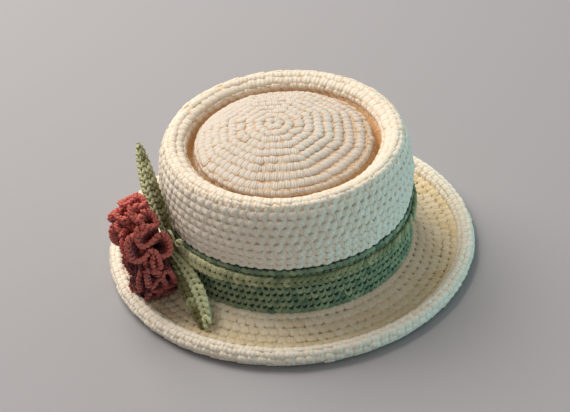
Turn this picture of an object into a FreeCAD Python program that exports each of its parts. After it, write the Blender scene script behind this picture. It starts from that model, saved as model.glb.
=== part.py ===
import FreeCAD, Part
import math
import os

# Crocheted pork-pie hat with a slip-over band, a ruffled flower and two leaves.
# Millimetres, +Z up. The origin is on the axis of the head opening, in the plane
# that the brim rests on. Angles round the hat are counted from +X towards +Y.

# Crown
head_radius = 91.0            # inside of the crown, for a head of 57 cm
fabric = 5.0                  # thickness of the cream fabric
flare_height = 36.0           # the wall is upright up to here, and then leans out
flare_bend_radius = 20.0
belly_radius = 103.4          # the wall's widest corner, before it is rounded
belly_height = 76.0
belly_bend_radius = 60.0
shoulder_radius = 101.0       # where the wall turns in below the rim
shoulder_height = 100.0
shoulder_bend_radius = 14.0
rim_seam_height = 93.5        # where the rim's first round is worked into the wall
rim_radius = 95.0             # outer corner of the rim, before it is rounded
rim_height = 121.4
rim_bend_radius = 7.4
lip_height = 112.0            # inner corner of the rim, over the groove
lip_bend_radius = 3.0
groove_radius = 77.4          # outer side of the groove
groove_width = 3.6
groove_height = 100.0         # bottom of the groove above the rest plane
groove_bend_radius = 1.6      # at the bottom of the groove
tip_height = 126.0            # middle of the domed tip above the rest plane
tip_edge_height = 110.5       # where the dome turns down into the groove
tip_edge_radius = 7.0
tip_flat_radius = 12.0        # level middle of the dome
tip_bend_radius = 42.9
tip_bend_drop = 4.65          # from the middle down to half way out to the edge

# Brim
brim_radius = 152.5           # to the outside of the roll
brim_foot_height = 14.0       # top of the brim where it leaves the crown
brim_foot_width = 3.0         # level step at the foot, beside the crown
rest_inner_share = 0.45       # start of the level ring that the hat rests on, from crown to roll
rest_outer_share = 0.695      # end of the level ring
brim_bend_share = 0.49        # radius of the bends on both sides of it, against the brim's width
roll_radius = 7.6
roll_height = 8.5             # middle of the roll above the rest plane
wire_radius = 1.2
wire_gap = 0.5                # degrees between the wire's ends, inside the joiner
joiner_wall = 0.4
joiner_length = 8.0           # degrees
wire_clearance = 0.1
wire_seam_angle = 90.0        # round the hat, where the wire's ends meet

# Hat band
slip_clearance = 0.4          # between the band and the hat
band_thickness = 4.7
band_ridge_height = 47.5      # height of the chain above the rest plane
band_top_height = 60.0
band_flare = 1.2              # how much wider the ridge is than the foot
band_lip = 1.8                # thickness left at the top edge
chain_radius = 2.2
seat_clearance = 0.1          # round the chain, in its groove in the band

# Flower, measured along its own axis from the flower's back
trim_angle = 205.0            # round the hat, at the middle of the flower
flower_height = 54.9          # middle of the flower above the rest plane
flower_tilt = 9.0             # degrees that the flower's face looks down
flower_standoff = 5.5         # from the band's ridge to the back of the flower
flower_back_radius = 14.0
flower_back_thickness = 3.0
flower_back_depth = 6.0       # how far the back reaches in past the band's ridge
centre_radius = 5.5
centre_height = 27.0
frill_thickness = 4.2
frill_waves = 7
points_per_wave = 8
frill_wave_rise = 0.16        # height of a wave, per millimetre from the centre
frill_clearance = 0.2
outer_frill_radius = 43.0
outer_frill_foot = 8.0
outer_frill_rise = 8.0
middle_frill_radius = 39.5
middle_frill_foot = 13.0
middle_frill_rise = 11.0
inner_frill_radius = 32.0
inner_frill_foot = 18.0
inner_frill_rise = 12.0

# Leaves and tie
leaf_thickness = 3.6
leaf_fullness = 1.2           # over 1, a leaf is widest nearer its tip
leaf_spans = 8                # between the points of a leaf's lines
upper_leaf_width = 8.5        # half width of the blade, along its folded halves
upper_leaf_end_width = 1.6    # half width at the base and at the tip
upper_leaf_fold = 3.0         # rise of the edges over the midrib
upper_leaf_facing = 48.0      # degrees past the middle of the flower
lower_leaf_width = 11.5
lower_leaf_end_width = 4.0
lower_leaf_fold = -1.5        # its edges droop
lower_leaf_facing = 10.0
lower_leaf_facing_rise = 0.6  # how much of its facing is upwards
knot_radius = 4.2
knot_angle = 214.0
knot_height = 60.5
loop_radius = 4.6
tie_cord_radius = 1.5

# Points on the leaves: outwards from their seat on the band's chain, degrees past the
# middle of the flower, and height above it
upper_leaf_base = (0.0, 5.0, -6.0)
upper_leaf_middle = (2.8, -7.5, 27.0)
upper_leaf_tip = (9.0, -24.0, 66.0)
lower_leaf_base = (4.5, 6.0, -9.0)
lower_leaf_middle = (6.5, 17.0, -25.0)
lower_leaf_tip_angle = 28.0   # its tip lies on the brim
lower_leaf_tip_reach = 7.0    # past the inner edge of the level ring
lower_leaf_tip_lift = 1.0     # off the brim, at its midrib

# Sizes that follow from these
crown_radius = head_radius + fabric
roll_ring_radius = brim_radius - roll_radius
brim_width = roll_ring_radius - crown_radius
rest_inner_radius = crown_radius + rest_inner_share * brim_width
rest_outer_radius = crown_radius + rest_outer_share * brim_width
brim_bend_radius = brim_bend_share * brim_width
wire_channel_radius = wire_radius + wire_clearance + joiner_wall + wire_clearance
band_inner_radius = crown_radius + slip_clearance
band_ridge_radius = band_inner_radius + band_thickness + band_flare
band_top_rise = (band_top_height - flare_height) / (belly_height - flare_height)
band_top_radius = band_inner_radius + (belly_radius - crown_radius) * band_top_rise
leaf_seat = band_ridge_radius + chain_radius + slip_clearance + leaf_thickness / 2
flower_back_reach = band_ridge_radius + chain_radius + flower_standoff

AXIS = FreeCAD.Vector(0, 0, 1)
ORIGIN = FreeCAD.Vector(0, 0, 0)


def section_point(radius, height):
    return FreeCAD.Vector(radius, 0, height)


def around(radius, angle, height):
    """A point of the hat, from its distance to the axis, its angle and its height."""
    turn = math.radians(angle)
    return FreeCAD.Vector(radius * math.cos(turn), radius * math.sin(turn), height)


def rounded_wire(corners):
    """One wire through (radius, height, corner radius), with tangent arcs at the corners."""
    points = [section_point(r, z) for r, z, _ in corners]
    edges = []
    start = points[0]
    for before, corner, after, (_, _, bend) in zip(points, points[1:], points[2:], corners[1:]):
        arriving = (corner - before).normalize()
        leaving = (after - corner).normalize()
        turn = arriving.getAngle(leaving)
        run = bend * math.tan(turn / 2)
        arc_start = corner - arriving * run
        arc_end = corner + leaving * run
        inward = (leaving - arriving).normalize()
        arc_middle = corner + inward * (bend / math.cos(turn / 2) - bend)
        edges.append(Part.LineSegment(start, arc_start).toShape())
        edges.append(Part.Arc(arc_start, arc_middle, arc_end).toShape())
        start = arc_end
    edges.append(Part.LineSegment(start, points[-1]).toShape())
    return Part.Wire(edges)


def fabric_section(corners):
    """The cut face of the cream fabric, whose outer side follows the corners."""
    face = rounded_wire(corners).makeOffset2D(fabric, 2, True, True)
    return Part.Face(face.Faces[0].OuterWire)


def disc_section(radius, ring_radius, height, hole_radius=0.0):
    centre = section_point(ring_radius, height)
    across = FreeCAD.Vector(0, 1, 0)
    face = Part.Face(Part.Wire(Part.makeCircle(radius, centre, across)))
    if hole_radius:
        face = face.cut(Part.Face(Part.Wire(Part.makeCircle(hole_radius, centre, across))))
    return face.Faces[0]


def turned(section, degrees=360):
    """The solid that a section makes as it goes round the hat."""
    return section.Faces[0].revolve(ORIGIN, AXIS, degrees)


def sewn_solid(faces):
    shell = Part.makeShell(faces)
    shell.sewShape()
    solid = Part.makeSolid(shell.Shells[0] if shell.Shells else shell)
    if solid.Volume < 0:
        solid.reverse()
    return solid


def crown():
    seam_share = (rim_seam_height - belly_height) / (shoulder_height - belly_height)
    seam_radius = belly_radius + (shoulder_radius - belly_radius) * seam_share
    side = fabric_section([
        (crown_radius, brim_foot_height - fabric, 0),
        (crown_radius, flare_height, flare_bend_radius),
        (belly_radius, belly_height, belly_bend_radius),
        (seam_radius, rim_seam_height, 0)])
    groove_middle = groove_radius - groove_width / 2
    rim = fabric_section([
        (seam_radius, rim_seam_height, 0),
        (shoulder_radius, shoulder_height, shoulder_bend_radius),
        (rim_radius, rim_height, rim_bend_radius),
        (groove_radius, lip_height, lip_bend_radius),
        (groove_radius, groove_height, groove_bend_radius),
        (groove_middle, groove_height, 0)])
    tip_radius = groove_radius - groove_width
    tip_bend_place = (tip_radius + tip_flat_radius) / 2
    tip = fabric_section([
        (groove_middle, groove_height, 0),
        (tip_radius, groove_height, groove_bend_radius),
        (tip_radius, tip_edge_height, tip_edge_radius),
        (tip_bend_place, tip_height - tip_bend_drop, tip_bend_radius),
        (tip_flat_radius, tip_height, tip_bend_radius),
        (0, tip_height, 0)])
    return {"crown_side": turned(side), "crown_rim": turned(rim), "crown_tip": turned(tip)}


def brim():
    dish = fabric_section([
        (roll_ring_radius, roll_height, 0),
        (rest_outer_radius, fabric, brim_bend_radius),
        (rest_inner_radius, fabric, brim_bend_radius),
        (crown_radius + brim_foot_width, brim_foot_height, brim_foot_width),
        (crown_radius, brim_foot_height, 0)])
    dish = dish.cut(disc_section(roll_radius, roll_ring_radius, roll_height))
    roll = disc_section(roll_radius, roll_ring_radius, roll_height, wire_channel_radius)
    wire = turned(disc_section(wire_radius, roll_ring_radius, roll_height), 360 - wire_gap)
    wire.rotate(ORIGIN, AXIS, wire_seam_angle + wire_gap / 2)
    joiner_bore = wire_radius + wire_clearance
    joiner = turned(disc_section(joiner_bore + joiner_wall, roll_ring_radius, roll_height,
                                 joiner_bore), joiner_length)
    joiner.rotate(ORIGIN, AXIS, wire_seam_angle - joiner_length / 2)
    return {"brim": turned(dish), "brim_roll": turned(roll),
            "brim_wire": wire, "brim_wire_joiner": joiner}


def band():
    foot = brim_foot_height + slip_clearance
    outline = [
        section_point(band_inner_radius, foot),
        section_point(band_inner_radius + band_thickness, foot),
        section_point(band_inner_radius + band_thickness, flare_height),
        section_point(band_ridge_radius, band_ridge_height),
        section_point(band_top_radius + band_lip, band_top_height),
        section_point(band_top_radius, band_top_height),
        section_point(band_inner_radius, flare_height)]
    strip = Part.Face(Part.makePolygon(outline + outline[:1]))
    groove = disc_section(chain_radius + seat_clearance, band_ridge_radius, band_ridge_height)
    chain = disc_section(chain_radius, band_ridge_radius, band_ridge_height)
    return {"hat_band": turned(strip.cut(groove)), "band_edge_chain": turned(chain)}


def tie(*beside):
    """The knot sits on the band's top edge, and its loop stands up beside it."""
    reach = band_top_radius + band_lip + knot_radius
    knot = Part.makeSphere(knot_radius, around(reach, knot_angle, knot_height))
    loop_angle = knot_angle - math.degrees((knot_radius + loop_radius) / reach)
    loop_centre = around(reach + knot_radius / 2, loop_angle, knot_height + loop_radius / 2)
    loop = Part.makeTorus(loop_radius, tie_cord_radius, loop_centre, around(1, loop_angle, 0))
    tied = knot.fuse(loop)
    for piece in beside:
        tied = tied.cut(piece)
    return tied


def leaf(base, middle, tip, facing, width, end_width, fold):
    """A blade folded along its midrib, that bows through the middle point."""
    side = (tip - base).cross(facing).normalize()
    normal = side.cross(tip - base).normalize()
    bow = middle - (base + tip) * 0.5
    stations = [i / leaf_spans for i in range(leaf_spans + 1)]

    def line(across, lift):
        points = []
        for t in stations:
            spread = end_width + (width - end_width) * math.sin(math.pi * t ** leaf_fullness)
            point = base + (tip - base) * t + bow * math.sin(math.pi * t)
            point = point + side * (across * spread)
            points.append(point + normal * (lift + fold * abs(across) * spread / width))
        curve = Part.BSplineCurve()
        curve.interpolate(points)
        return curve.toShape()

    half = leaf_thickness / 2
    loop = [line(-1, half), line(0, half), line(1, half),
            line(1, -half), line(0, -half), line(-1, -half)]
    faces = [Part.makeRuledSurface(a, b) for a, b in zip(loop, loop[1:] + loop[:1])]
    for end in (0, -1):
        corners = [edge.Vertexes[end].Point for edge in loop]
        faces.append(Part.Face(Part.makePolygon(corners + corners[:1])))
    return sewn_solid(faces)


def frill(radius, foot, rise):
    """A ruffled round, its waves growing from nothing at the centre to the edge."""
    inner = centre_radius + frill_clearance
    count = frill_waves * points_per_wave

    def ring(ring_radius, height, wave):
        points = []
        for i in range(count):
            turn = 2 * math.pi * i / count
            lift = wave * math.sin(frill_waves * turn)
            points.append(FreeCAD.Vector(ring_radius * math.cos(turn), ring_radius * math.sin(turn),
                                         height + lift))
        curve = Part.BSplineCurve()
        curve.interpolate(Points=points, PeriodicFlag=True)
        return curve.toShape()

    wave = frill_wave_rise * (radius - inner)
    loop = [ring(inner, foot, 0), ring(radius, foot + rise, wave),
            ring(radius, foot + rise + frill_thickness, wave), ring(inner, foot + frill_thickness, 0)]
    return sewn_solid([Part.makeRuledSurface(a, b) for a, b in zip(loop, loop[1:] + loop[:1])])


def flower():
    depth = flower_standoff + flower_back_depth
    back = Part.makeCylinder(flower_back_radius, depth + flower_back_thickness, section_point(0, -depth))
    centre = Part.makeCylinder(centre_radius, centre_height - centre_radius,
                               section_point(0, flower_back_thickness))
    centre = centre.fuse(Part.makeSphere(
        centre_radius, section_point(0, flower_back_thickness + centre_height - centre_radius)))
    pieces = {
        "flower_back": back,
        "flower_centre": centre.removeSplitter(),
        "outer_frill": frill(outer_frill_radius, outer_frill_foot, outer_frill_rise),
        "middle_frill": frill(middle_frill_radius, middle_frill_foot, middle_frill_rise),
        "inner_frill": frill(inner_frill_radius, inner_frill_foot, inner_frill_rise)}
    for piece in pieces.values():
        piece.rotate(ORIGIN, FreeCAD.Vector(0, 1, 0), 90 + flower_tilt)
        piece.translate(section_point(flower_back_reach, flower_height))
        piece.rotate(ORIGIN, AXIS, trim_angle)
    return pieces


def leaf_point(place):
    outwards, angle, height = place
    return around(leaf_seat + outwards, trim_angle + angle, flower_height + height)


def leaves():
    upper_facing = around(1, trim_angle + upper_leaf_facing, 0)
    lower_facing = around(1, trim_angle + lower_leaf_facing, lower_leaf_facing_rise)
    lower_leaf_tip = around(rest_inner_radius + lower_leaf_tip_reach, trim_angle + lower_leaf_tip_angle,
                            fabric + leaf_thickness + lower_leaf_tip_lift)
    upper = leaf(leaf_point(upper_leaf_base), leaf_point(upper_leaf_middle), leaf_point(upper_leaf_tip),
                 upper_facing, upper_leaf_width, upper_leaf_end_width, upper_leaf_fold)
    lower = leaf(leaf_point(lower_leaf_base), leaf_point(lower_leaf_middle), lower_leaf_tip,
                 lower_facing, lower_leaf_width, lower_leaf_end_width, lower_leaf_fold)
    return {"upper_leaf": upper, "lower_leaf": lower}


nodes = {}
nodes.update(crown())
nodes.update(brim())
nodes.update(band())
nodes.update(leaves())
nodes["band_tie"] = tie(nodes["hat_band"], nodes["band_edge_chain"], nodes["upper_leaf"])
nodes.update(flower())
under_flower = Part.makeCylinder(band_ridge_radius + chain_radius, rim_height)
for piece in (under_flower, nodes["upper_leaf"], nodes["lower_leaf"], nodes["band_tie"]):
    nodes["flower_back"] = nodes["flower_back"].cut(piece)

os.makedirs("parts", exist_ok=True)
for name, shape in nodes.items():
    shape.exportStep("parts/" + name + ".step")
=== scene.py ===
import math
import random

import bmesh
import bpy
from mathutils import Matrix, Vector


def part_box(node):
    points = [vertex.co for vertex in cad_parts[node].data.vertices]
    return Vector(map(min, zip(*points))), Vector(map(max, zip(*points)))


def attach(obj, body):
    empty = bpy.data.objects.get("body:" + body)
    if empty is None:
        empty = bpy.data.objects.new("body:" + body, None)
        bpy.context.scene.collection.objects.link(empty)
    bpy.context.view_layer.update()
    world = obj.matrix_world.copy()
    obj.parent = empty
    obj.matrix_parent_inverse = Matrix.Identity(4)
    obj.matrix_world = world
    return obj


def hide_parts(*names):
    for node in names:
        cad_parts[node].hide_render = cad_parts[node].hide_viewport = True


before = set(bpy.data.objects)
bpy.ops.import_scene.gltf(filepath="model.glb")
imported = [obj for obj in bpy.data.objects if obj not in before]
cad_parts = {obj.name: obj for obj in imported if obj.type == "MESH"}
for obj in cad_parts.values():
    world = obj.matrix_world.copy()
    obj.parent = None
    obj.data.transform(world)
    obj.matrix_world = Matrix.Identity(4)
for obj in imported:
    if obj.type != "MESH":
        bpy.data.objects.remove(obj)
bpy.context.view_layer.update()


# The crown's tip: the domed round top of the hat, single crochet in cream cotton.
# It is worked from the middle outwards, with eight increases a round, so its rounds
# are slightly eight-sided. It ends at the bottom of the groove inside the rim.

stitch_width = 0.0076
tip_stitch_width = 0.0053
tip_round_height = 0.0080
round_height = 0.0070
fabric_thickness = 0.005
# stitches reach this share of the fabric's thickness, and what lies deeper is pressed flat
buried_share = 0.52
groove_half_width = 0.002232
groove_bend = 0.0016


class Shade:
    """One output of a material's nodes. Sums of shades add their own Math nodes."""

    def __init__(self, tree, socket):
        self.tree = tree
        self.socket = socket

    def node(self, kind, sockets=(), output=0, **settings):
        made = self.tree.nodes.new(kind)
        for setting, value in settings.items():
            setattr(made, setting, value)
        for slot, value in dict(sockets).items():
            if isinstance(value, Shade):
                self.tree.links.new(value.socket, made.inputs[slot])
            else:
                made.inputs[slot].default_value = value
        return Shade(self.tree, made.outputs[output])

    def math(self, operation, *values):
        return self.node("ShaderNodeMath", enumerate(values), operation=operation)

    def __add__(self, other):
        return self.math("ADD", self, other)

    def __sub__(self, other):
        return self.math("SUBTRACT", self, other)

    def __rsub__(self, other):
        return self.math("SUBTRACT", other, self)

    def __mul__(self, other):
        return self.math("MULTIPLY", self, other)

    __radd__ = __add__
    __rmul__ = __mul__

    def clamped(self):
        return self.node("ShaderNodeClamp", {0: self})

    def mixed(self, first, second):
        """From the first colour to the second, by this shade."""
        return self.node("ShaderNodeMix", {0: self, 6: first, 7: second}, output=2, data_type="RGBA")


def colour(red, green, blue):
    return (red, green, blue, 1.0)


def yarn(name, pale, deep, recess_shade, patch_size=0.02, patch_spread=0.35, ply_start=0.0):
    """Cotton yarn: two dye shades in patches, plied strands, and painted shade, a warm dark, where it dips.
    The ply_start is where round the strand its first ply begins, as a share of a turn."""
    material = bpy.data.materials.new(name)
    material.use_nodes = True
    tree = material.node_tree
    shader = tree.nodes["Principled BSDF"]
    shader.inputs["Roughness"].default_value = 0.88
    shader.inputs["Specular IOR Level"].default_value = 0.25
    shader.inputs["Sheen Weight"].default_value = 0.12
    shader.inputs["Sheen Roughness"].default_value = 0.6
    start = Shade(tree, None)
    place = start.node("ShaderNodeTexCoord", output=3)
    uv = start.node("ShaderNodeUVMap", uv_map="UVMap")
    along = start.node("ShaderNodeSeparateXYZ", {0: uv})
    around = Shade(tree, along.socket.node.outputs[1])
    depth = start.node("ShaderNodeAttribute", attribute_name="depth", output=2)
    tone = start.node("ShaderNodeAttribute", attribute_name="tone", output=2)
    patches = start.node("ShaderNodeTexNoise", {"Vector": place, "Scale": 1 / patch_size, "Detail": 2.0})
    fibres = start.node("ShaderNodeTexNoise", {"Vector": place, "Scale": 1400.0, "Detail": 3.0})
    dyed = ((patches - 0.5) * patch_spread + tone + (fibres - 0.5) * 0.5).clamped().mixed(deep, pale)
    # painted shade: the lower the depth attribute, the more the yarn takes its recess colour
    tree.links.new(depth.clamped().mixed(recess_shade, dyed).socket, shader.inputs["Base Color"])
    plies = start.math("SINE", (along * 6.0 + around * 2.0 + ply_start) * (2 * math.pi))
    relief = plies * 0.5 + fibres * 0.8
    bump = start.node("ShaderNodeBump", {"Strength": 0.55, "Distance": 0.0005, "Height": relief})
    tree.links.new(bump.socket, shader.inputs["Normal"])
    return material


def strand(points, radii, full_shade_depth=-4.2, flatness=1.0, sides=1):
    """A length of yarn along points in millimetres, as a mesh with its ends closed."""
    curve = bpy.data.curves.new("strand", "CURVE")
    curve.dimensions = "3D"
    spline = curve.splines.new("NURBS")
    spline.points.add(len(points) - 1)
    for target, point, radius in zip(spline.points, points, radii):
        target.co = (*(Vector(point) * 0.001), 1.0)
        target.radius = radius
    spline.order_u = 3
    spline.use_endpoint_u = True
    spline.resolution_u = 1
    curve.bevel_depth = 0.001
    curve.bevel_resolution = sides
    curve.use_fill_caps = True
    holder = bpy.data.objects.new("strand", curve)
    bpy.context.scene.collection.objects.link(holder)
    mesh = bpy.data.meshes.new_from_object(holder)
    bpy.data.objects.remove(holder)
    mesh.shade_smooth()
    # the depth attribute paints shade: 1 from 1.5 mm under the stitch's face upwards, falling to nothing at
    # the given depth in millimetres, where the yarn takes its recess colour in full
    depth = mesh.attributes.new("depth", "FLOAT", "POINT")
    depth.data.foreach_set("value", [1 + (v.co.z * 1000 + 1.5) / -(full_shade_depth + 1.5) for v in mesh.vertices])
    mesh.attributes.new("tone", "FLOAT", "POINT")
    mesh.transform(Matrix.Diagonal((1, 1, flatness, 1)))
    return mesh


def rope_stitch(relief, breadth=5.2, waist=0.96):
    """The front of a stitch whose loops hide its legs: a plump slanting strand, that runs
    into its neighbours' and makes the round a rope."""
    return strand(
        [(-6.4, 2.0, -breadth - 3.4), (-3.5, 2.7, -breadth - relief), (0, 3.5, -breadth),
         (3.5, 4.3, -breadth - relief), (6.4, 5.0, -breadth - 3.4)],
        [breadth * share for share in (waist * 0.8, waist, 1.0, waist, waist * 0.8)],
        full_shade_depth=-3.4, flatness=0.6, sides=2)


def loop_stitch(fullness, flatness=0.55):
    """The front of a stitch that shows its legs: a U, whose bend hangs over the next round."""
    return strand(
        [(-4.0, -1.2, -3.8), (-4.0, 1.4, -3.2), (-3.4, 4.4, -2.8), (-1.8, 5.6, -2.5), (0, 5.9, -2.3),
         (1.8, 5.6, -2.5), (3.4, 4.4, -2.8), (4.0, 1.4, -3.2), (4.0, -1.2, -3.8)],
        [radius * fullness for radius in (1.5, 1.6, 2.1, 2.9, 3.2, 2.9, 2.1, 1.6, 1.5)],
        flatness=flatness)


rope = rope_stitch(1.2)
# the bar that the back of a stitch shows
back_stitch = strand(
    [(-4.4, 2.6, -3.2), (-2.0, 4.0, -2.5), (2.0, 4.2, -2.5), (4.4, 2.8, -3.2)],
    [1.8, 2.6, 2.6, 1.8], full_shade_depth=-10, flatness=0.8)


def lay(bm, stitch, matrix, tone):
    """Adds one stitch to the piece, in place, with its own shade."""
    laid = stitch.copy()
    laid.transform(matrix)
    laid.attributes["tone"].data.foreach_set("value", [tone] * len(laid.vertices))
    bm.from_mesh(laid)
    bpy.data.meshes.remove(laid)


class Section:
    """A line in radius and height that the fabric follows, with round corners."""

    def __init__(self, corners):
        points = [Vector((corner[0], corner[1])) for corner in corners]
        self.points = [points[0]]
        for before, corner, after, spec in zip(points, points[1:], points[2:], corners[1:]):
            arriving = (corner - before).normalized()
            leaving = (after - corner).normalized()
            turn = arriving.angle_signed(leaving)
            first = corner - arriving * spec[2] * math.tan(abs(turn) / 2)
            centre = corner + (leaving - arriving).normalized() * spec[2] / math.cos(turn / 2)
            for step in range(13):
                spoke = (first - centre).to_3d()
                spoke.rotate(Matrix.Rotation(-turn * step / 12, 3, "Z"))
                self.points.append(centre + spoke.to_2d())
        self.points.append(points[-1])
        self.marks = [0.0]
        for start, end in zip(self.points, self.points[1:]):
            self.marks.append(self.marks[-1] + (end - start).length)

    @property
    def length(self):
        return self.marks[-1]

    def at(self, distance):
        """The point that far along the line, and the line's direction there."""
        for index in range(len(self.marks) - 1):
            if distance <= self.marks[index + 1] or index == len(self.marks) - 2:
                span = self.marks[index + 1] - self.marks[index]
                if span < 1e-7:
                    continue
                share = (distance - self.marks[index]) / span
                start, end = self.points[index], self.points[index + 1]
                return start + (end - start) * share, (end - start).normalized()


class Inside:
    """The same line on the inner face of the fabric."""

    def __init__(self, section, thickness):
        self.section = section
        self.thickness = thickness
        self.length = section.length

    def at(self, distance):
        point, direction = self.section.at(distance)
        return point - Vector((-direction.y, direction.x)) * self.thickness, direction


def bent_stitch(stitch, section, start, width_scale, height_scale, side, hollow_shade, buried):
    """The stitch laid on the section at the angle 0, curved with the fabric. What lies
    deeper than its buried side is pressed almost flat, so that it stays in the fabric.
    Laying it mirrors it, on either side, so its faces are turned to point outwards again."""
    pressed_share = 0.12
    bent = stitch.copy()
    depth = bent.attributes["depth"].data
    for vertex in bent.vertices:
        across, along, out = vertex.co
        point, direction = section.at(start + along * height_scale)
        across *= width_scale * side
        out = (max(out, -buried) + min(out + buried, 0) * pressed_share) * side
        radius = point.x - direction.y * out
        vertex.co = (math.sqrt(max(radius * radius - across * across, 0)), across,
                     point.y + direction.x * out)
        # painted shade in the hollow: the depth falls towards its lower height
        if hollow_shade:
            low, high, reach = hollow_shade
            if vertex.co.x < reach:
                depth[vertex.index].value *= min(max((vertex.co.z - low) / (high - low), 0), 1)
    bent.flip_normals()
    return bent


def work_rounds(bm, section, seed, side=1, width=stitch_width, height=round_height,
                stitch=rope, warp=None, lean=0.19, swirl=0.0, wander=0.2, shades=0.12, fade=0.0,
                hollow_shade=None, buried=fabric_thickness * buried_share):
    """Rounds of stitches along a section, each about as wide as the next. A fade makes
    the first rounds paler and the last ones deeper, a painted change of light from round to round.

    A hollow is two heights and a radius: inside that radius, the yarn takes its recess colour, painted
    shade, more and more from the upper height down to the lower one."""
    dice = random.Random(seed)
    rounds = max(1, round(section.length / height))
    pitch = section.length / rounds
    for number in range(rounds):
        start = number * pitch
        middle, direction = section.at(start + pitch / 2)
        count = max(6, round(2 * math.pi * middle.x / width))
        width_scale = 2 * math.pi * middle.x / count / stitch_width
        bent = bent_stitch(stitch, section, start, width_scale, pitch / round_height, side, hollow_shade,
                           buried)
        centre = Matrix.Translation((middle.x, 0, middle.y))
        for place in range(count):
            angle = 2 * math.pi * (place + (lean + swirl * number) * number) / count
            jitter = Matrix.Translation([dice.gauss(0, wander) * 0.001 for _ in range(3)])
            turn = Matrix.Rotation(dice.gauss(0, 0.05), 4, Vector((-direction.y, 0, direction.x)))
            placed = Matrix.Rotation(angle, 4, "Z") @ centre @ jitter @ turn @ centre.inverted()
            if warp:
                placed = warp(angle, middle.x) @ placed
            lay(bm, bent, placed, 0.5 + fade * (0.5 - number / rounds) + dice.gauss(0, shades))
        bpy.data.meshes.remove(bent)


def backing(bm, section, front, back, warp=None):
    """The web of yarn between the stitches of both faces, a closed ring. Its depth is
    nothing at the front, where it is seen in the holes and wears its recess colour as painted shade, and
    full at the back."""
    row_height = 0.003
    hole_radius = 0.0003
    sides = 96
    depth = bm.verts.layers.float.new("depth")
    tone = bm.verts.layers.float.new("tone")
    rows = max(2, round(section.length / row_height))
    places = [(row, front) for row in range(rows + 1)] + [(row, back) for row in range(rows, -1, -1)]
    for row, offset in places:
        point, direction = section.at(section.length * row / rows)
        point = point - Vector((-direction.y, direction.x)) * offset
        vert = bm.verts.new((max(point.x, hole_radius), 0, point.y))
        vert[depth] = float(offset == back)
        vert[tone] = 0.4
    verts = list(bm.verts)
    edges = [bm.edges.new(pair) for pair in zip(verts, verts[1:] + verts[:1])]
    bmesh.ops.spin(bm, geom=verts + edges, cent=(0, 0, 0), axis=(0, 0, 1), angle=2 * math.pi,
                   steps=sides, use_merge=True)
    bmesh.ops.recalc_face_normals(bm, faces=bm.faces)
    for face in bm.faces:
        face.smooth = True
    if warp:
        for vert in bm.verts:
            vert.co = warp(math.atan2(vert.co.y, vert.co.x), vert.co.xy.length) @ vert.co


def finished(name, bm, material, body, slot, *nodes):
    """Makes the piece's object, in place, on its body, and hides the CAD parts that it stands for."""
    mesh = bpy.data.meshes.new(name)
    bm.to_mesh(mesh)
    bm.free()
    mesh.materials.append(material)
    piece = bpy.data.objects.new(name, mesh)
    bpy.context.scene.collection.objects.link(piece)
    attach(piece, body)
    if nodes:
        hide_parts(*nodes)


def fabric(name, section, body, slot, material, web_material, seed, stitch, nodes=(), warp=None,
           thickness=fabric_thickness, web_front=0.36, web_back=0.78, hollow_shade=None, **options):
    """A crocheted piece: stitches on both faces, over the web between them. The web lies
    between web_front and web_back, as shares of the thickness."""
    bm = bmesh.new()
    options["buried"] = thickness * buried_share
    work_rounds(bm, section, seed, 1, stitch=stitch, warp=warp, hollow_shade=hollow_shade, **options)
    work_rounds(bm, Inside(section, thickness), seed + 1, -1, stitch=back_stitch, warp=warp, **options)
    finished(name + "_stitches", bm, material, body, slot, *nodes)
    bm = bmesh.new()
    backing(bm, section, thickness * web_front, thickness * web_back, warp)
    finished(name + "_web", bm, web_material, body, slot)


# the recess colours, warm tan to orange, are painted shade in the dips and holes between the stitches
cream = yarn("cream_cotton", colour(0.93, 0.86, 0.74), colour(0.84, 0.75, 0.60), colour(0.74, 0.44, 0.20),
             ply_start=0.5)
cream_web = yarn("cream_web", colour(0.90, 0.82, 0.68), colour(0.80, 0.70, 0.54), colour(0.76, 0.57, 0.38))

tip_low, tip_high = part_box("crown_tip")
tip_top = tip_high.z
groove_middle = tip_high.x
groove_bottom = tip_low.z + fabric_thickness
tip_radius = groove_middle - groove_half_width
groove_radius = groove_middle + groove_half_width
tip_start_radius = 0.001
tip_flat_radius = 0.012
tip_dome_bend = 0.0429
tip_dome_drop = 0.00465
tip_edge_drop = 0.0155
tip_edge_bend = 0.007

tip_section = Section([
    (tip_start_radius, tip_top), (tip_flat_radius, tip_top, tip_dome_bend),
    ((tip_radius + tip_flat_radius) / 2, tip_top - tip_dome_drop, tip_dome_bend),
    (tip_radius, tip_top - tip_edge_drop, tip_edge_bend), (tip_radius, groove_bottom, groove_bend),
    (groove_middle, groove_bottom)])


# a darker copy of the cream cotton that the tip is worked in: painted shade that dims the dome; its recess
# colour is painted shade too
shaded_tip_cream = yarn("shaded_tip_cotton", colour(0.77, 0.71, 0.63), colour(0.68, 0.605, 0.51), colour(0.60, 0.40, 0.22),
                 ply_start=0.5)
tip_offset = Vector((-0.0069, 0.0035, 0))


def eight_sided(angle, radius):
    """Moves a stitch of the tip out to its eight-sided round, a little off the middle."""
    sector = math.radians(45)
    from_side = (angle - sector / 2) % sector - sector / 2
    share = max(0.0, 1 - (radius / tip_radius) ** 3)
    factor = 1 + (math.cos(sector / 2) / math.cos(from_side) - 0.949) * share
    outward = Vector((math.cos(angle), math.sin(angle), 0)) * radius
    move = outward * (factor - 1) + tip_offset * share
    about = Matrix.Translation(outward)
    turn = Matrix.Rotation(-from_side * share * 0.8, 4, "Z")
    return Matrix.Translation(move) @ about @ turn @ about.inverted()


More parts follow.
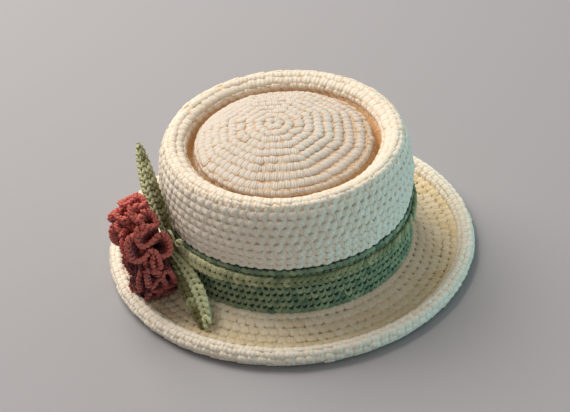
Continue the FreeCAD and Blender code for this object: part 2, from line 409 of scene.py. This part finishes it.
# between these two heights, inside this radius, the yarn darkens towards the groove: painted shade
groove_shade = (0.104, 0.112, 0.079)
fabric("crown_tip", tip_section, "hat", "cream_cotton", shaded_tip_cream, cream_web, 11,
       rope_stitch(0.7, 4.5, 0.92), ["crown_tip"], warp=eight_sided, width=tip_stitch_width,
       height=tip_round_height, hollow_shade=groove_shade, lean=0.0, swirl=0.38, wander=0.3)


# The rim: the top of the wall, turned over inwards in a soft roll, from the groove out
# to the wall. Its outer corner is worked through the back loops, which makes it a rope.

lip_height = 0.112
lip_bend = 0.003
rim_radius = 0.095
rim_height = 0.1214
rim_bend = 0.0074
rim_corner = (0.0976, 0.1121)
rim_side_start = (0.0971, 0.1140)
rim_seam = (0.10165, 0.0935)
shoulder_radius = 0.101
shoulder_height = 0.100
shoulder_bend = 0.014
rim_section = Section([
    (groove_middle, groove_bottom), (groove_radius, groove_bottom, groove_bend),
    (groove_radius, lip_height, lip_bend), (rim_radius, rim_height, rim_bend), rim_corner])
fabric("crown_rim", rim_section, "hat", "cream_cotton", cream, cream_web, 21, rope_stitch(0.3, 5.5),
       ["crown_rim"], hollow_shade=groove_shade, lean=0.5)
wall_stitch = loop_stitch(1.32)
# the wall web's recess colour, a light tan, is painted shade in the holes between the wall's stitches
wall_web = yarn("wall_web", colour(0.90, 0.82, 0.68), colour(0.80, 0.70, 0.54), colour(0.86, 0.68, 0.50))
rim_side_section = Section([rim_side_start, (shoulder_radius, shoulder_height, shoulder_bend), rim_seam])
fabric("crown_rim_side", rim_side_section, "hat", "cream_cotton", cream, wall_web, 26, wall_stitch,
       web_front=0.25)


# The wall of the crown: rounds of cream single crochet, all with as many stitches,
# from the rim over the belly to the brim. Its lower rounds are under the hat band.

crown_radius = 0.096
belly_radius = 0.1034
belly_height = 0.076
belly_bend = 0.060
flare_height = 0.036
flare_bend = 0.020
brim_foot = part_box("brim")[1].z
side_section = Section([
    rim_seam, (belly_radius, belly_height, belly_bend), (crown_radius, flare_height, flare_bend),
    (crown_radius, brim_foot - fabric_thickness)])
fabric("crown_side", side_section, "hat", "cream_cotton", cream, wall_web, 31, wall_stitch, ["crown_side"],
       web_front=0.25)


# The brim: rounds of single crochet in cream cotton that widen from the wall, dip to the
# level ring that the hat rests on, and rise again to the rolled edge.

roll_low, roll_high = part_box("brim_roll")
roll_radius = (roll_high.z - roll_low.z) / 2
roll_ring = roll_high.x - roll_radius
roll_height = roll_high.z - roll_radius
# the recess colours, warm tans, are painted shade in the dips and holes of the brim
brim_cream = yarn("brim_cotton", colour(0.93, 0.85, 0.68), colour(0.81, 0.64, 0.37),
                  colour(0.76, 0.58, 0.36), ply_start=0.5)
brim_web = yarn("brim_web", colour(0.90, 0.80, 0.60), colour(0.80, 0.68, 0.46), colour(0.80, 0.66, 0.46))
brim_root_bend = 0.003
brim_dish_bend = 0.024
rest_inner_radius = 0.118
rest_outer_radius = 0.130
brim_section = Section([
    (crown_radius, brim_foot), (crown_radius + brim_root_bend, brim_foot, brim_root_bend),
    (rest_inner_radius, fabric_thickness, brim_dish_bend),
    (rest_outer_radius, fabric_thickness, brim_dish_bend),
    (roll_ring - roll_radius, roll_height - 0.001)])
# the fade paints warm light on the outer brim: its last rounds, up to the roll, turn to the deeper ochre,
# and the first ones, by the wall, stay pale
fabric("brim", brim_section, "hat", "cream_cotton", brim_cream, brim_web, 41, loop_stitch(1.5, 0.3),
       ["brim"], fade=0.9)


# The rolled edge of the brim: its last rounds, turned up and over a wire so that the
# right side shows all round.

roll_section = Section([
    (roll_ring + roll_radius * math.cos(turn), roll_height + roll_radius * math.sin(turn), 0.0)
    for turn in [math.radians(180 - 20 * step) for step in range(19)]])
roll_buried = 0.0044
roll_web_front = 0.0028
roll_web_back = 0.0050
roll_bm = bmesh.new()
work_rounds(roll_bm, roll_section, 51, stitch=rope_stitch(0.0, 5.9, 0.99), lean=0.5, buried=roll_buried)
finished("brim_roll_stitches", roll_bm, cream, "hat", "cream_cotton", "brim_roll")
roll_web_bm = bmesh.new()
backing(roll_web_bm, roll_section, roll_web_front, roll_web_back)
finished("brim_roll_web", roll_web_bm, cream_web, "hat", "cream_cotton")


# The wire inside the rolled edge, galvanised steel, and the short brass tube that joins
# its ends. Both are the frame's own solids, with a fine grain in their metals.

def metal(name, bright, dull, *nodes):
    material = bpy.data.materials.new(name)
    material.use_nodes = True
    shader = material.node_tree.nodes["Principled BSDF"]
    shader.inputs["Metallic"].default_value = 1.0
    start = Shade(material.node_tree, None)
    place = start.node("ShaderNodeTexCoord", output=3)
    grain = start.node("ShaderNodeTexNoise", {"Vector": place, "Scale": 260.0, "Detail": 4.0})
    material.node_tree.links.new(grain.mixed(dull, bright).socket, shader.inputs["Base Color"])
    material.node_tree.links.new((grain * 0.4 + 0.2).socket, shader.inputs["Roughness"])
    for node in nodes:
        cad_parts[node].data.materials.clear()
        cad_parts[node].data.materials.append(material)


metal("galvanised_steel", colour(0.62, 0.63, 0.65), colour(0.36, 0.37, 0.39), "brim_wire")
metal("brass", colour(0.80, 0.62, 0.30), colour(0.50, 0.36, 0.14), "brim_wire_joiner")


# The hat band: rounds of single crochet in a variegated green cotton, up to the pale
# chain of its ridge, and two more rounds that lean in over it.

band_low, band_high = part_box("hat_band")
band_thickness = 0.0047
band_foot = band_low.z
ridge_height = 0.0475
band_inner = crown_radius + 0.0004
ridge_radius = band_inner + band_thickness + 0.0012
knot_angle = math.radians(214)
band_top_radius = band_high.x
band_stitch_width = 0.0054
band_round_height = 0.0063

# the green yarn's recess colour and the band's web, nearly black on both faces, are painted shade in the
# dips and holes of the band
green = yarn("green_cotton", colour(0.36, 0.42, 0.24), colour(0.09, 0.17, 0.10),
             colour(0.012, 0.03, 0.022), 0.010, 1.0, ply_start=0.5)
green_shade_web = yarn("green_shade_web", colour(0.05, 0.08, 0.05), colour(0.02, 0.04, 0.03), colour(0.01, 0.02, 0.02))
ridge = (ridge_radius, ridge_height)
top_section = Section([(band_top_radius, band_high.z - 0.0025), ridge])
band_section = Section([ridge, (band_inner + band_thickness, flare_height, flare_bend),
                        (band_inner + band_thickness, band_foot)])
band_gauge = {"thickness": 0.0042, "width": band_stitch_width, "height": band_round_height, "shades": 0.22}
fabric("hat_band", band_section, "band", "green_cotton", green, green_shade_web, 61, loop_stitch(0.9),
       ["hat_band"], **band_gauge)
fabric("hat_band_top", top_section, "band", "green_cotton", green, green_shade_web, 66, rope_stitch(0.8, 4.8),
       **band_gauge)


# The chain along the band's ridge: a round of slip stitches in a paler green cotton,
# worked through the ridge, whose links lie end to end and point the same way.

def link_stitch(fullness):
    """One link of a chain: a U with its bend behind, whose ends go under the next link."""
    return strand([(-2.0, 7.4, -1.8), (-2.3, 4.6, -0.2), (-1.5, 1.6, 0.2), (0, 0.2, -0.9),
                   (1.5, 1.6, 0.2), (2.3, 4.6, -0.2), (2.0, 7.4, -1.8)],
                  [radius * fullness for radius in (0.9, 1.3, 1.4, 1.2, 1.4, 1.3, 0.9)], full_shade_depth=-3.4)


link = link_stitch(1.25)
pale_green = yarn("pale_green_cotton", colour(0.78, 0.76, 0.46), colour(0.15, 0.20, 0.09),
                  colour(0.03, 0.05, 0.03), 0.010, 0.9)


def facing(origin, along, out, width=1.0, length=1.0):
    """Where a stitch goes: its place, its own direction, and which way its face looks."""
    across = along.cross(out).normalized()
    along = along.normalized()
    out = across.cross(along)
    sides = Matrix((across * width, along * length, out)).transposed().to_4x4()
    return Matrix.Translation(origin) @ sides


def around(radius, angle, height):
    """A point of the hat, from its distance to the axis, its angle and its height."""
    return Vector((radius * math.cos(angle), radius * math.sin(angle), height))


def evenly(points, pitch):
    """Places about a pitch apart along a line of points, each as a share of its count."""
    marks = [0.0]
    for start, end in zip(points, points[1:]):
        marks.append(marks[-1] + (end - start).length)
    count = max(2, round(marks[-1] / pitch))
    places = []
    for number in range(count):
        target = marks[-1] * number / count
        index = max(i for i, mark in enumerate(marks[:-1]) if mark <= target)
        share = (target - marks[index]) / max(marks[index + 1] - marks[index], 1e-9)
        places.append((index + share) / (len(points) - 1))
    return places, marks[-1] / count


link_pitch = 0.0050
link_width = 0.0072
chain_lift = 0.0015
knot_reach = 30
chain_bm = bmesh.new()
chain_dice = random.Random(71)
chain_count = round(2 * math.pi * ridge_radius / link_pitch)
for number in range(chain_count):
    angle = 2 * math.pi * number / chain_count
    outward = around(1, angle, 0)
    near_knot = math.exp(-(math.degrees(angle - knot_angle) / knot_reach) ** 2)
    onward = Vector((-outward.y, outward.x, chain_dice.gauss(0, 0.04)))
    placed = facing(around(ridge_radius + chain_lift, angle, ridge_height), onward, outward,
                    1.25 + 0.95 * near_knot)
    lay(chain_bm, link, placed, 0.2 + 0.6 * near_knot + chain_dice.gauss(0, 0.12))
finished("band_edge_chain_links", chain_bm, pale_green, "band", "pale_green_cotton", "band_edge_chain")


# The leaves: two folded blades in a variegated green cotton, sewn on behind the flower.
# Each is a row of stitches up both sides of its midrib and one across its tip, over a web.

trim_angle = math.radians(205)
flower_height = 0.0549
chain_radius = 0.0022
leaf_clearance = 0.0004
leaf_half_thickness = 0.0018
leaf_seat = ridge_radius + chain_radius + leaf_clearance + leaf_half_thickness
# the leaf yarn's deep colour, a brownish olive, is painted shade on a leaf's shaded half, warmed by painted
# reflected light; the dark leaf web is painted shade between the stitches
leaf_green = yarn("leaf_cotton", colour(0.76, 0.80, 0.48), colour(0.16, 0.15, 0.045),
                  colour(0.04, 0.05, 0.02), 0.010, 0.9)
leaf_web = yarn("leaf_web", colour(0.22, 0.25, 0.11), colour(0.10, 0.13, 0.06), colour(0.16, 0.19, 0.09))


def leaf_point(outwards, degrees_on, rise):
    return around(leaf_seat + outwards, trim_angle + math.radians(degrees_on), flower_height + rise)


class Blade:
    """The face of a leaf, by its share from base to tip and from edge to edge."""

    def __init__(self, base, middle, tip, facing_way, width, end_width, fold):
        self.base, self.tip = base, tip
        self.width, self.end_width, self.fold = width, end_width, fold
        self.side = (tip - base).cross(facing_way).normalized()
        self.normal = self.side.cross(tip - base).normalized()
        self.bow = middle - (base + tip) * 0.5

    def half_width(self, share):
        rounded = math.sqrt(1 - min(max(share - 0.86, 0.0) / 0.14, 0.9) ** 2)
        return (self.end_width + (self.width - self.end_width) * math.sin(math.pi * share ** 1.2)) * rounded

    def at(self, share, across):
        share = min(max(share, 0.0), 1.0)
        spread = self.half_width(share)
        point = self.base + (self.tip - self.base) * share + self.bow * math.sin(math.pi * share)
        return (point + self.side * across * spread
                + self.normal * self.fold * abs(across) * spread / self.width)

    def frame(self, share, across):
        """The point, and the ways to the tip, to the edge and out of the face."""
        step = 0.02
        onward = (self.at(share + step, across) - self.at(share - step, across)).normalized()
        half = 1 if across > 0 else -1
        outward = (self.at(share, half) - self.at(share, 0)).normalized()
        out = onward.cross(outward) * half
        return self.at(share, across), onward, outward, out if out.dot(self.normal) > 0 else -out


def work_leaf(name, blade, seed, left_shading, right_shading):
    """Stitches up both sides of the midrib, on both faces, with a web between the faces.
    One side is paler than the other: painted light on one half and painted shade on the other. Each leaf is
    also darker towards its base."""
    stitch_lift = 0.0010
    web_lift = 0.0005
    web_length = 0.98
    web_width = 0.9
    dice = random.Random(seed)
    bm = bmesh.new()
    for across in (-0.55, 0.55):
        places, pitch = evenly([blade.at(step / 60, across) for step in range(58)], link_pitch)
        for share in places:
            share *= 0.96
            point, onward, outward, out = blade.frame(share, across)
            width = max(blade.half_width(share) * 1.15 / link_width, 0.25)
            for face in (-1, 1):
                placed = facing(point + out * face * stitch_lift, onward, out * face, width,
                                pitch / link_pitch)
                # painted light and shade: the lit side's tone on one half, the shaded side's on the other,
                # darker towards the base
                tone = (right_shading if across > 0 else left_shading) + 0.5 * (share - 0.5)
                lay(bm, link, placed, tone + dice.gauss(0, 0.2))
    point, onward, _, _ = blade.frame(0.97, 0)
    for face in (-1, 1):
        closing = facing(point + blade.normal * face * stitch_lift, onward, blade.normal * face, 0.4, 0.6)
        lay(bm, link, closing, left_shading)
    finished(name + "_stitches", bm, leaf_green, "band", "leaf_cotton", name)
    web = bmesh.new()
    for face in (-1, 1):
        grid = bmesh.ops.create_grid(web, x_segments=2, y_segments=40, size=1)
        for vert in grid["verts"]:
            share = web_length * (vert.co.y + 1) / 2
            vert.co = blade.at(share, web_width * vert.co.x * face) + blade.normal * face * web_lift
    finished(name + "_web", web, leaf_web, "band", "leaf_cotton")


upper_blade = Blade(
    leaf_point(0, 5, -0.006), leaf_point(0.0028, -7.5, 0.027), leaf_point(0.009, -23.6, 0.0635),
    around(1, trim_angle + math.radians(48), 0), width=0.0076, end_width=0.0022, fold=0.003)
lower_blade = Blade(
    leaf_point(0.0045, 3, -0.0095), leaf_point(0.0065, 17, -0.025),
    around(0.126, trim_angle + math.radians(30), 0.0096),
    around(1, trim_angle + math.radians(10), 0.6), width=0.0112, end_width=0.0055, fold=-0.0015)
work_leaf("upper_leaf", upper_blade, 81, 1.1, 0.15)
work_leaf("lower_leaf", lower_blade, 91, 0.75, 0.05)


# The tie: the tail of the band's pale yarn, in a knot on its top edge, with one loop
# left standing beside it.

knot_radius = 0.0042
knot_height = 0.0605
knot = around(band_top_radius + knot_radius, knot_angle, knot_height)
loop_radius = 0.0046
loop_angle = knot_angle - (knot_radius + loop_radius) / knot.xy.length
loop_middle = around(knot.xy.length + knot_radius / 2, loop_angle, knot.z + loop_radius / 2)


def ring_of_yarn(bm, middle, axis, radius, thickness, wobble, dice):
    """One turn of yarn round an axis, as a closed row of short strands."""
    side = axis.orthogonal().normalized()
    front = axis.cross(side).normalized()
    points = []
    for step in range(14):
        turn = 2 * math.pi * step / 12
        reach = radius * (1 + dice.uniform(-wobble, wobble))
        points.append((middle + side * math.cos(turn) * reach + front * math.sin(turn) * reach
                       + axis.normalized() * dice.uniform(-wobble, wobble) * radius) * 1000)
    piece = strand(points, [thickness * 1000] * len(points), full_shade_depth=-40)
    piece.attributes["depth"].data.foreach_set("value", [1.0] * len(piece.vertices))
    lay(bm, piece, Matrix.Identity(4), 0.7)


tie_bm = bmesh.new()
tie_dice = random.Random(101)
for _ in range(4):
    axis = Vector([tie_dice.uniform(-1, 1) for _ in range(3)])
    ring_of_yarn(tie_bm, knot, axis, knot_radius * 0.65, 0.0010, 0.22, tie_dice)
ring_of_yarn(tie_bm, loop_middle, around(1, loop_angle, 0), loop_radius, 0.0011, 0.12, tie_dice)
finished("band_tie_knot", tie_bm, pale_green, "band", "pale_green_cotton", "band_tie")


# The flower: three ruffled rounds in dusty rose, one inside the other, on a small back
# and round a narrow centre. Their waves grow towards the edge and bulge over each other.

flower_standoff = 0.0055
flower_reach = ridge_radius + chain_radius + flower_standoff
flower_place = (Matrix.Rotation(trim_angle, 4, "Z") @ Matrix.Translation((flower_reach, 0, flower_height))
                @ Matrix.Rotation(math.radians(99), 4, "Y"))
rose = yarn("rose_cotton", colour(0.67, 0.162, 0.128), colour(0.12, 0.022, 0.027),
            colour(0.035, 0.006, 0.006), 0.016, 0.6)
petal_link = link_stitch(1.0)
petal_width = 0.0036
petal_height = 0.0042


class Frill:
    """The middle face of a ruffle, by its share round the flower and out to the edge. The
    squeezes narrow its two sides, and the drop shortens its lower half above the brim."""

    def __init__(self, radius, foot, rise, wave, waves, squeeze, seed):
        dice = random.Random(seed)
        self.radius, self.foot, self.rise, self.wave, self.waves = radius, foot, rise, wave, waves
        self.squeeze = squeeze
        self.inner = 0.0057
        self.drop = 0.93
        self.phases = [dice.uniform(0, 2 * math.pi) for _ in range(4)]

    def at(self, turn, share):
        """A point of the ruffle, from the flower's own axis."""
        swell = 1 + 0.25 * math.sin(3 * turn + self.phases[0]) + 0.2 * math.sin(5 * turn + self.phases[1])
        beat = self.waves * turn + 1.1 * math.sin(2 * turn + self.phases[2]) + self.phases[3]
        grown = max(share, 0.0) ** 1.4
        radius = self.inner + (self.radius - self.inner) * share
        angle = turn - grown * 0.85 / self.waves * math.sin(2 * beat)
        height = self.foot + self.rise * share + self.wave * grown * swell * math.sin(beat)
        across = radius * math.sin(angle)
        across *= self.squeeze[0] if across > 0 else self.squeeze[1]
        down = radius * math.cos(angle)
        return flower_place @ Vector((down * self.drop if down > 0 else down, across, height))


def work_frill(name, frill, seed):
    """Rounds of links on both faces of a ruffle, with wider ones at its edge, paler there as a painted
    highlight, and darker the lower they lie, as painted shade.
    """
    link_lift = 0.0010
    dice = random.Random(seed)
    bm = bmesh.new()
    turns = [2 * math.pi * step / 400 for step in range(401)]
    rows = max(2, round((frill.radius - frill.inner) / petal_height))
    for row in range(rows + 1):
        share = (row + 0.4) / rows if row < rows else 1.0
        places, pitch = evenly([frill.at(turn, share) for turn in turns], petal_width)
        for place in places:
            turn = 2 * math.pi * place
            point = frill.at(turn, share)
            onward = frill.at(turn + 0.01, share) - frill.at(turn - 0.01, share)
            outward = point - frill.at(turn, share - 0.1)
            out = onward.cross(outward).normalized()
            width = petal_height * (1.9 if row == rows else 1.3) / link_width
            for face in (-1, 1):
                # the edge row takes a painted highlight, and every link darkens towards the deep colour the
                # lower it lies: painted shade
                tone = (0.90 if row == rows else 0.04) + dice.gauss(0, 0.15) + (point.z - flower_height) * 14
                placed = facing(point + out * face * link_lift, onward, out * face, width,
                                pitch / link_pitch)
                lay(bm, petal_link, placed, tone)
    finished(name + "_stitches", bm, rose, "band", "rose_cotton", name)


outer_frill = Frill(radius=0.0475, foot=0.008, rise=0.007, wave=0.0080, waves=9,
                    squeeze=(0.50, 0.60), seed=298)
middle_frill = Frill(radius=0.0435, foot=0.0165, rise=0.008, wave=0.0080, waves=8,
                     squeeze=(0.58, 0.50), seed=453)
inner_frill = Frill(radius=0.0332, foot=0.0242, rise=0.0055, wave=0.0058, waves=6,
                    squeeze=(0.55, 0.51), seed=79)
work_frill("outer_frill", outer_frill, 112)
work_frill("middle_frill", middle_frill, 122)
work_frill("inner_frill", inner_frill, 132)

back_bm = bmesh.new()
back_section = Section([(0.001, 0.003), (0.008, 0.003, 0.0015), (0.008, -flower_standoff)])
work_rounds(back_bm, back_section, 141, width=petal_width)
back_bm.transform(flower_place)
finished("flower_back_stitches", back_bm, rose, "band", "rose_cotton", "flower_back")

centre_bm = bmesh.new()
centre_section = Section([(0.0005, 0.030), (0.0055, 0.030, 0.0045), (0.0055, 0.003)])
work_rounds(centre_bm, centre_section, 151, width=petal_width)
centre_bm.transform(flower_place)
finished("flower_centre_stitches", centre_bm, rose, "band", "rose_cotton", "flower_centre")


# The floor, the light and the camera: a plain grey ground that the hat rests on, one large
# warm lamp above and behind it at the left, a low cool one at the right, and a long lens.

floor_bm = bmesh.new()
bmesh.ops.create_grid(floor_bm, x_segments=1, y_segments=1, size=6.0)
floor_mesh = bpy.data.meshes.new("floor")
floor_bm.to_mesh(floor_mesh)
floor_bm.free()
floor = bpy.data.objects.new("floor", floor_mesh)
bpy.context.scene.collection.objects.link(floor)
ground = bpy.data.materials.new("ground")
ground.use_nodes = True
ground.node_tree.nodes["Principled BSDF"].inputs["Base Color"].default_value = colour(0.385, 0.382, 0.400)
ground.node_tree.nodes["Principled BSDF"].inputs["Roughness"].default_value = 0.95
floor.data.materials.append(ground)


def lamp(name, place, aim, size, energy, tint):
    light = bpy.data.lights.new(name, "AREA")
    light.shape = "RECTANGLE"
    light.size, light.size_y = size
    light.energy = energy
    light.color = tint
    holder = bpy.data.objects.new(name, light)
    bpy.context.scene.collection.objects.link(holder)
    holder.location = place
    holder.rotation_euler = (Vector(aim) - Vector(place)).to_track_quat("-Z", "Y").to_euler()


lamp("window", (-0.9, 0.9, 1.7), (0, 0, 0.05), (1.6, 1.6), 52, (1.0, 0.94, 0.87))
lamp("screen", (2.6, -0.4, 0.07), (0, 0, 0.07), (2.8, 0.12), 27, (0.25, 0.84, 1.0))
world = bpy.data.worlds.new("world")
bpy.context.scene.world = world
world.use_nodes = True
world.node_tree.nodes["Background"].inputs["Color"].default_value = (1.0, 0.96, 0.93, 1.0)
world.node_tree.nodes["Background"].inputs["Strength"].default_value = 0.33

camera_distance = 1.4368
camera_rise = math.radians(34.62)
camera_roll = math.radians(4.33)
orbit_middle = Vector((0, 0, 0.118))
camera = bpy.data.objects.new("camera", bpy.data.cameras.new("camera"))
bpy.context.scene.collection.objects.link(camera)
bpy.context.scene.camera = camera
camera.data.lens = 113.7
camera.data.clip_end = 50
camera.location = orbit_middle + Vector((0, -math.cos(camera_rise), math.sin(camera_rise))) * camera_distance
aim = Vector((-0.0032, 0, 0.0443))
looking = (aim - camera.location).to_track_quat("-Z", "Y").to_matrix().to_4x4()
camera.matrix_world = Matrix.Translation(camera.location) @ looking @ Matrix.Rotation(-camera_roll, 4, "Z")

bpy.context.scene.view_settings.view_transform = "Standard"
bpy.context.view_layer.update()
